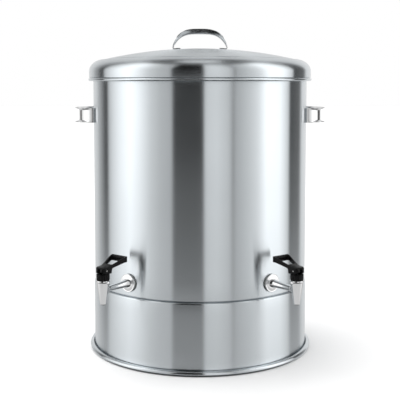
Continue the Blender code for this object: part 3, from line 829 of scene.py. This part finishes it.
def tapBodyMesh():
    # A tapered spout with the shank through the wall, ears on top, a chamber and its bore.
    top, bottom = tap["spoutTop"], tap["spoutBottom"]
    wide = tap["spoutTopRadius"]
    tip = (tap["spoutBottomRadius"] - tap["tipRound"], bottom + tap["tipRound"])
    profile = [(0, top), (wide - 0.0006, top)]
    profile += arc((wide - 0.0006, top - 0.0006), 0.0006, 90, 0, 4)
    profile += [(wide, top - tap["collar"]), (wide - 0.0004, top - tap["collar"] - 0.0006),
                (wide - 0.0005, top - 0.0042)]
    profile += arc(tip, tap["tipRound"], 0, -90, 8)
    profile.append((0, bottom))
    barrel = turnedObject("barrel", profile, 72)

    shoulder, start, end = stack["shoulder"], tap["shankStart"], tap["shankEnd"]
    root, spoutWall = 0.002, 0.0096
    swell, blend = 0.0012, 0.0035   # the shank swells where it blends into the spout
    slim = spoutWall + blend
    flare = shoulder - 0.0045
    taper = (flare - slim) / (shoulder - slim)
    shank = [(0, root), (start + swell, root), (start + swell, spoutWall)]
    shank += [(start + swell * (1 - s) ** 2, spoutWall + blend * s) for s in (0.35, 0.7, 1.0)]
    shank += [(start + (end - 0.0010 - start) * taper, flare)]
    shank += [(end - 0.0006, flare + 0.0008), (end, flare + 0.0016), (end, shoulder - 0.0004),
              (end - 0.0004, shoulder), (tap["tailRadius"] - 0.0004, shoulder)]
    z = shoulder + 0.001
    pitch, crest = tap["threadPitch"], tap["tailRadius"]
    groove = crest - tap["threadDepth"]
    while z < stack["tailEnd"] - pitch:
        shank += [(groove, z + pitch * 0.25), (crest, z + pitch * 0.5), (groove, z + pitch)]
        z += pitch
    shank += [(groove, stack["tailEnd"]), (0, stack["tailEnd"])]
    shankRod = turnedObject("shank", shank, 56, alongShank)

    ears = roundedBox("ears", (2 * tap["earReach"], 0.005, 0.005),
                      (0, 0, top - gap - 0.0025), 0.0011)
    chamber = turnedObject("chamber", [
        (0, top + sheet), (tap["chamberRadius"], top + sheet),
        (tap["chamberRadius"], tap["seat"]), (tap["outletRadius"], tap["seat"]),
        (tap["outletRadius"], bottom + 0.0006), (tap["outletRadius"] + 0.0008, bottom - 0.0002),
        (tap["outletRadius"] + 0.0008, bottom - sheet), (0, bottom - sheet)], 48)
    bore = turnedObject("bore", [
        (0, 0.0036), (tap["shankBore"], 0.0036),
        (tap["shankBore"], stack["tailEnd"] + sheet), (0, stack["tailEnd"] + sheet)],
        40, alongShank)
    return joined("tapBody", barrel, [(shankRod, "UNION"), (ears, "UNION"),
                                      (chamber, "DIFFERENCE"), (bore, "DIFFERENCE")])


def bonnetMesh():
    # A screw cap with a fluted grip and a raised ring round the stem.
    top, base = tap["bonnetTop"], tap["spoutTop"] + gap
    radius = tap["bonnetRadius"]
    spigot = tap["chamberRadius"] - gap
    cavity = spigot - 0.0013
    ceiling = top - 0.0035

    def flutes(r, z, angle):
        if r < radius - 0.0002 or z < base + 0.0008 or z > top - 0.0016:
            return 0.0
        return -tap["fluteDepth"] * (0.5 + 0.5 * math.cos(tap["flutes"] * angle)) ** 0.7

    profile = arc((radius - 0.0009, top - 0.0009), 0.0009, 90, 0, 5)
    profile += [(radius, top - 0.0017), (radius, top - 0.004), (radius, base + 0.003),
                (radius, base + 0.0009), (radius - 0.0001, base + 0.0007), (radius - 0.0003, base),
                (spigot, base), (spigot, base - 0.006), (cavity, base - 0.006),
                (cavity, ceiling), (0.0023, ceiling), (0.0023, top)]
    shape = revolve(profile, 160, True, flutes)
    return finishMesh("tapBonnet", shape, 30)


def stemMesh():
    # A rod with a foot in the seat cup and a cross-drilled eye for the pivot pin.
    top, footTop, footBottom = tap["pivotRise"], 0.0030, -0.0006
    stem, foot, eye, half = 0.0020, 0.0031, 0.0033, 0.0022   # radii, and the eye's half width
    rod = turnedObject("rod", [(0, top), (stem, top), (stem, footTop + 0.0003),
                               (stem, footTop), (foot - 0.0003, footTop), (foot, footTop - 0.0003),
                               (foot, footBottom + 0.0003), (foot - 0.0003, footBottom),
                               (0, footBottom)], 40)
    across = Matrix.Translation((0, 0, top)) @ Matrix.Rotation(math.pi / 2, 4, "Y")
    ring = turnedObject("eye", [(0, half), (eye - 0.0004, half), (eye, half - 0.0004),
                                (eye, 0.0004 - half), (eye - 0.0004, -half), (0, -half)],
                        40, across)
    bore = tap["pinHoleRadius"]
    hole = turnedObject("hole", [(0, 0.006), (bore, 0.006), (bore, -0.006), (0, -0.006)],
                        32, across)
    return joined("tapStem", rod, [(ring, "UNION"), (hole, "DIFFERENCE")])


def seatCupMesh():
    # Rubber, moulded round the stem's foot.
    low, high = tap["seat"] + gap, tap["seat"] + gap + 0.0094
    wide = tap["chamberRadius"] - gap - 0.0013 - 0.0003
    return finishMesh("seatCup", revolve(clean([
        (0, -0.0009), (0.0034, -0.0009), (0.0034, 0.0033), (0.0023, 0.0033), (0.0023, high),
        (wide - 0.0004, high), (wide, high - 0.0004), (wide, low + 0.002),
        (wide - 0.0004, low + 0.0012), (wide - 0.001, low), (0, low)]), 48, False))


spring = {
    "foot": 0.00615,
    "head": 0.02175,
    "wireRadius": 0.00045,
    "coilRadius": 0.0044,
    "turns": 5.0,
}


def springMesh():
    # A compression spring whose end coils lie closer together.
    foot, head = spring["foot"], spring["head"]
    wire, coil = spring["wireRadius"], spring["coilRadius"]
    steps, sides = 150, 10
    shape = bmesh.new()
    rings = []
    for i in range(steps + 1):
        share = i / steps
        turn = 2 * math.pi * spring["turns"] * share
        ease = share * share * (3 - 2 * share)
        height = foot + (head - foot) * (0.35 * share + 0.65 * ease)
        centre = Vector((coil * math.cos(turn), coil * math.sin(turn), height))
        out = Vector((math.cos(turn), math.sin(turn), 0))
        rings.append([shape.verts.new(centre + out * wire * math.cos(a)
                                      + Vector((0, 0, wire * math.sin(a))))
                      for a in (2 * math.pi * k / sides for k in range(sides))])
    for low, high in zip(rings, rings[1:]):
        for k in range(sides):
            n = (k + 1) % sides
            shape.faces.new([low[k], low[n], high[n], high[k]])
    shape.faces.new(rings[0])
    shape.faces.new(rings[-1])
    return finishMesh("tapSpring", shape, 60)


def ringMesh(name, profile, segments=72):
    shape = revolve(clean(profile), segments, True)
    bmesh.ops.transform(shape, matrix=alongShank, verts=shape.verts)
    return finishMesh(name, shape, 30)


def flangeMesh():
    # A dished washer with a rolled edge.
    outer, hole = tap["flangeRadius"], tap["tailRadius"] + tap["tailClearance"]
    front, back = stack["flangeFront"], stack["flangeBack"]
    profile = [(hole, front)]
    profile += [(hole + 0.0014, front), (hole + 0.0034, front + 0.0002),
                (outer - 0.0030, front + 0.0009), (outer - 0.0016, front + 0.0012)]
    profile += arc((outer - 0.0007, front + 0.0017), 0.0007, 250, 360, 6)
    profile += [(outer, back - 0.0002), (outer - 0.0002, back), (outer - 0.0012, back),
                (outer - 0.0020, back - 0.0004), (hole, back - 0.0004)]
    return ringMesh("tapFlange", profile, 96)


def washerMesh(name, outer, front, back, segments=72):
    # A flat ring on the shank with eased outer edges, for the gaskets and the spacer.
    hole, ease = tap["tailRadius"] + tap["tailClearance"], 0.0003
    return ringMesh(name, [(hole, front), (outer - ease, front), (outer, front + ease),
                           (outer, back - ease), (outer - ease, back), (hole, back)], segments)


def nutMesh():
    # A hexagon nut with turned corners and a threaded bore.
    across = tap["nutFlats"] / math.sqrt(3)  # out to a corner
    front, back = stack["nutFront"], stack["nutBack"]
    hexagon = turnedObject("hexagon", [(0, front), (across, front), (across, back), (0, back)],
                           6, alongShank)
    cap = tap["nutFlats"] / 2
    chamfer = turnedObject("chamfer", [
        (0, front), (cap, front), (across + 0.0002, front + 0.0011),
        (across + 0.0002, back - 0.0011), (cap, back), (0, back)], 72, alongShank)
    inner = tap["tailRadius"] + tap["tailClearance"]
    bore = turnedObject("nutBore", [
        (0, front - sheet), (inner + 0.0014, front - sheet), (inner, front + 0.0006),
        (inner, back - 0.0006), (inner + 0.0014, back + sheet), (0, back + sheet)], 48, alongShank)
    return joined("lockNut", hexagon, [(chamfer, "INTERSECT"), (bore, "DIFFERENCE")])


# The lever: a rectangular loop whose hub is a cam on the bonnet.
lever = {
    "hubWidth": 0.019,
    "gripWidth": 0.033,
    "length": 0.0415,
    "top": 0.0188,
    "camRadius": 0.0047,
    "crown": 0.0059,            # the hub's top, above the pin
    "lift": 0.004,
    "travel": math.radians(65),
    "windowNear": 0.0120,
    "windowFar": 0.0350,
    "windowNearWidth": 0.0160,
    "windowFarWidth": 0.0275,
    "windowCorner": 0.0015,
    "gripDepth": 0.0094,
    "edgeRound": 0.0009,
}


def prism(name, outline, thickness, toLever):
    # An outline given a thickness, then laid into the lever's own axes.
    shape = bmesh.new()
    low = [shape.verts.new((x, y, -thickness / 2)) for x, y in outline]
    high = [shape.verts.new((x, y, thickness / 2)) for x, y in outline]
    shape.faces.new(list(reversed(low)))
    shape.faces.new(high)
    for i in range(len(outline)):
        j = (i + 1) % len(outline)
        shape.faces.new([low[i], low[j], high[j], high[i]])
    bmesh.ops.transform(shape, matrix=toLever, verts=shape.verts)
    return looseObject(name, finishMesh(name, shape))


def leverTopEdge():
    top = lever["top"]
    return [(0.0060, lever["crown"] + 0.0008), (0.0130, top - 0.0098), (0.0200, top - 0.0070),
            (0.0265, top - 0.0040), (0.0330, top - 0.0014), (0.0385, top)]


def leverSide():
    # Seen from the side: the cam under the hub walks the stem up as the lever turns.
    rate = lever["lift"] / lever["travel"]
    outline = []
    for i in range(15):
        angle = lever["travel"] * i / 14
        reach = lever["camRadius"] + rate * angle
        outline.append((-reach * math.sin(angle) - rate * math.cos(angle),
                        -reach * math.cos(angle) + rate * math.sin(angle)))
    front, crown = outline[-1][0], lever["crown"]
    top, length = lever["top"], lever["length"]
    outline += [(front + 0.0003, crown * 0.45), (front + 0.0013, crown * 0.69),
                (front + 0.0028, crown * 0.87), (front + 0.0044, crown * 0.96),
                (front + 0.0061, crown)]
    outline += leverTopEdge()
    foot = top - lever["gripDepth"]
    outline += [(length - 0.0009, top - 0.0006), (length, top - 0.0020),
                (length, foot + 0.0020), (length - 0.0006, foot + 0.0006),
                (length - 0.0020, foot), (0.0330, 0.0092), (0.0230, 0.0066), (0.0130, 0.0040),
                (0.0112, 0.0032), (0.0100, 0.0020), (0.0090, -lever["camRadius"])]
    return outline


def planHalf(near, far, nearWidth, farWidth, corner):
    return [(nearWidth - corner, near), (nearWidth - corner * 0.3, near + corner * 0.3),
            (nearWidth, near + corner), (farWidth, far - corner),
            (farWidth - corner * 0.3, far - corner * 0.3), (farWidth - corner, far)]


def bothHalves(points):
    return points + [(-x, y) for x, y in reversed(points)]


def leverMesh():
    side = leverSide()
    front = min(y for y, z in side)
    upright = Matrix(((0, 0, 1, 0), (1, 0, 0, 0), (0, 1, 0, 0), (0, 0, 0, 1)))
    flat = Matrix.Identity(4)
    hub, grip, length = lever["hubWidth"] / 2, lever["gripWidth"] / 2, lever["length"]
    plan = [(hub - 0.0046, front - sheet), (hub - 0.0014, front + 0.0018),
            (hub, front + 0.0055), (hub, 0.0045), (hub + 0.0008, 0.0085),
            (grip - 0.0004, length - 0.0085), (grip, length - 0.0045),
            (grip - 0.0004, length - 0.0026), (grip - 0.0014, length - 0.0013),
            (grip - 0.0028, length - 0.0004), (grip - 0.0045, length)]
    body = prism("leverSide", side, 2 * lever["gripWidth"], upright)
    outline = prism("leverPlan", bothHalves(plan), 0.16, flat)
    near, far = lever["windowNear"], lever["windowFar"]
    nearWidth, farWidth = lever["windowNearWidth"] / 2, lever["windowFarWidth"] / 2
    opening = planHalf(near, far, nearWidth, farWidth, lever["windowCorner"])
    window = prism("leverWindow", bothHalves(opening), 0.16, flat)
    slotEnd, slotSize = 0.0036, 0.05
    slotCentre = slotEnd - slotSize / 2
    slot = roundedBox("eyeSlot", (0.005, slotSize, slotSize), (0, slotCentre, slotCentre), 0.0002)
    across = Matrix.Rotation(math.pi / 2, 4, "Y")
    bore = tap["pinHoleRadius"]
    hole = turnedObject("pinHole", [(0, 0.03), (bore, 0.03), (bore, -0.03), (0, -0.03)],
                        32, across)
    mesh = joined("tapLever", body, [
        (outline, "INTERSECT"), (window, "DIFFERENCE"), (slot, "DIFFERENCE"),
        (hole, "DIFFERENCE")])
    rough = looseObject("roughLever", mesh)
    soften = rough.modifiers.new("Edges", "BEVEL")
    soften.width = lever["edgeRound"]
    soften.segments = 3
    soften.limit_method = "ANGLE"
    soften.angle_limit = math.radians(38)
    rounded = applied(rough)
    rounded.name = "tapLever"
    dropAll([rough])
    return smoothed(rounded, 40)


def pinMesh():
    half, radius = lever["hubWidth"] / 2 - 0.0002, tap["pinRadius"]
    shape = revolve([(0, half), (radius * 0.7, half - 0.00005), (radius, half - 0.0003),
                     (radius, 0.0003 - half), (radius * 0.7, 0.00005 - half), (0, -half)],
                    32, False)
    bmesh.ops.rotate(shape, matrix=Matrix.Rotation(math.pi / 2, 3, "Y"), verts=shape.verts)
    return finishMesh("pivotPin", shape)


upToPivot = Matrix.Translation((0, 0, tap["pivotRise"]))
tapPieces = [
    # piece, mesh, body, slot, node, raised to the pivot
    ("TapBody", tapBodyMesh(), "root", "chrome", "tap_body", False),
    ("TapBonnet", bonnetMesh(), "root", "black_plastic", "tap_bonnet", False),
    ("TapSpring", springMesh(), "root", "bright_steel", "tap_spring", False),
    ("TapFlange", flangeMesh(), "root", "chrome", "tap_flange", False),
    ("OuterGasket", washerMesh("outerGasket", tap["gasketRadius"], stack["gasketFront"],
                               stack["gasketBack"]),
     "root", "silicone", "outer_gasket", False),
    ("WallSpacer", washerMesh("wallSpacer", tap["spacerRadius"], stack["spacerFront"],
                              stack["spacerBack"], 48),
     "root", "bright_steel", "wall_spacer", False),
    ("InnerGasket", washerMesh("innerGasket", tap["gasketRadius"], stack["innerFront"],
                               stack["innerBack"]),
     "root", "silicone", "inner_gasket", False),
    ("LockNut", nutMesh(), "root", "bright_steel", "lock_nut", False),
    ("TapStem", stemMesh(), "stem", "bright_steel", "tap_stem", False),
    ("SeatCup", seatCupMesh(), "stem", "silicone", "tap_seat_cup", False),
    ("PivotPin", pinMesh(), "stem", "bright_steel", "tap_pivot_pin", True),
    ("TapLever", leverMesh(), "lever", "black_plastic", "tap_lever", True),
]
for sideName, where in tapFrames.items():
    for label, mesh, body, slot, node, raised in tapPieces:
        riding = body if body == "root" else sideName + "_" + body
        place = where @ upToPivot if raised else where
        copied = mesh.copy()
        copied.name = sideName + label
        piece = addPiece(sideName + label, copied, riding, slot, [sideName + "_" + node], place)
        if label == "TapSpring":
            # On the real tap the stem squeezes the spring up against the bonnet's roof; here the
            # spring piece only gets a mesh of its own, and the CAD spring's box is read but not used.
            low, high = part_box(sideName + "_tap_spring")
            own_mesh(piece)
dropAll(wallHoles + foamHoles)
print("taps made")


# Studio: a pale floor and a round tent of light panels that only reflections see.
studio = {
    "floorSize": 14.0,
    "floorGrey": 0.90,
    "tentRadius": 2.6,
    "tentTop": 3.6,
    "tentFoot": -5.0,
    "tentGrey": 0.66,
    "tentDark": 0.03,
    "hazeDepth": -1.05,         # the panels fade to tentGrey from floor level down to here
    "hazeCurve": 1.1,
    "groundDepth": (-1.4, -2.0),
    "ceilingDark": 0.12,
    "ceilingLight": 1.0,
    "ceilingHeight": (3.4, 3.5),  # these pairs are where a fade begins and ends
    "ceilingEdge": (2.3, 1.7),
    "ceilingMiddle": (0.9, 0.5),
    "worldLight": 1.0,
    "sunAngle": 45.0,
    "sunPower": 1.4,
    "sunDirection": (0.7, -0.3, -2.4),
}
# Panels of the tent as (degrees round from the front, towards +X, brightness).
panels = [
    (-180, 0.82), (-141, 0.72), (-133, 0.50), (-124, 0.28), (-118, 0.09), (-112.5, 0.07),
    (-110.5, 0.50), (-107, 0.78), (-90, 1.3), (-76, 1.6), (-64, 1.3), (-51, 0.82), (-40, 0.62),
    (-28.5, 0.54), (-26.6, 0.0), (3.0, 0.0), (5.0, 0.82), (17, 0.90), (29, 0.72), (32.0, 0.50),
    (33.5, 0.24), (35.5, 0.50), (51, 0.76), (61, 0.98), (72, 1.6), (90, 1.5), (105, 0.8),
    (106.5, 0.07), (128, 0.15), (133, 0.50), (137, 0.82), (180, 0.82)]


def tentMaterial():
    # The panels fade into one grey below floor level, then into a dark ground far below. The
    # ceiling is dark with a light middle.
    finish = Finish("lightTent")
    x, y, z = finish.split(finish.place())
    turn = x.math("ARCTAN2", x, y * -1.0)
    stops = [((degrees + 180) / 360, bright / 2) for degrees, bright in panels]
    level = finish.node("ValToRGB", {"stops": stops}, {0: turn / (2 * math.pi) + 0.5}) * 2.0
    haze = finish.spread(z, 0.0, studio["hazeDepth"]) ** studio["hazeCurve"]
    level = level + (studio["tentGrey"] - level) * haze
    inward = (x * x + y * y) ** 0.5
    overhead = (finish.spread(inward, *studio["ceilingEdge"])
                * finish.spread(z, *studio["ceilingHeight"]))
    level = level + (studio["ceilingDark"] - level) * overhead
    middle = finish.spread(inward, *studio["ceilingMiddle"])
    level = level + (studio["ceilingLight"] - level) * middle * overhead
    ground = finish.spread(z, *studio["groundDepth"])
    level = level + (studio["tentDark"] - level) * ground
    glow = finish.node("Emission", {}, {"Color": level})
    end = finish.tree.nodes["Material Output"]
    finish.tree.links.new(glow.socket, end.inputs["Surface"])
    return finish.material


def stageObject(name, mesh, material, **sight):
    thing = looseObject(name, mesh)
    mesh.materials.append(material)
    for ray, seen in sight.items():
        setattr(thing, "visible_" + ray, seen)


def floorMaterial():
    finish = Finish("paleFloor", Roughness=0.75, Specular_IOR_Level=0.1)
    cloud = finish.noise(finish.place(), 3.0, 3.0, 0.5)
    grey = studio["floorGrey"]
    finish.set(Base_Color=finish.tint(cloud, (grey,) * 3, (grey + 0.02,) * 3))
    return finish.material


shape = bmesh.new()
bmesh.ops.create_circle(shape, cap_ends=True, segments=96, radius=studio["floorSize"])
stageObject("floor", finishMesh("floor", shape), floorMaterial(), glossy=False)
low, high, wide = studio["tentFoot"], studio["tentTop"], studio["tentRadius"]
shape = revolve([(0, low), (wide, low), (wide, high), (0, high)], 180, False)
stageObject("lightTent", finishMesh("lightTent", shape), tentMaterial(),
            camera=False, shadow=False, diffuse=False, transmission=False)

world = bpy.data.worlds.new("studio")
bpy.context.scene.world = world
world.use_nodes = True
world.node_tree.nodes["Background"].inputs["Color"].default_value = (1, 1, 1, 1)
world.node_tree.nodes["Background"].inputs["Strength"].default_value = studio["worldLight"]

sun = looseObject("softSun", bpy.data.lights.new("softSun", "SUN"))
sun.data.angle = math.radians(studio["sunAngle"])
sun.data.energy = studio["sunPower"]
sun.rotation_euler = Vector(studio["sunDirection"]).to_track_quat("-Z", "Y").to_euler()
sun.visible_glossy = False

bpy.context.scene.view_settings.view_transform = "Standard"
view = {
    "distance": 1.5521,
    "height": 0.478,
    "pitch": 5.0,               # degrees that the camera looks down
    "lens": 77.56,
    "sensorWidth": 36,
    "shift": -0.111,
}
camera = looseObject("camera", bpy.data.cameras.new("camera"))
camera.location = (0, axisY - view["distance"], view["height"])
camera.rotation_euler = (math.radians(90 - view["pitch"]), 0, 0)
camera.data.lens = view["lens"]
camera.data.sensor_width = view["sensorWidth"]
camera.data.shift_y = view["shift"]
bpy.context.scene.camera = camera
print("studio ready")
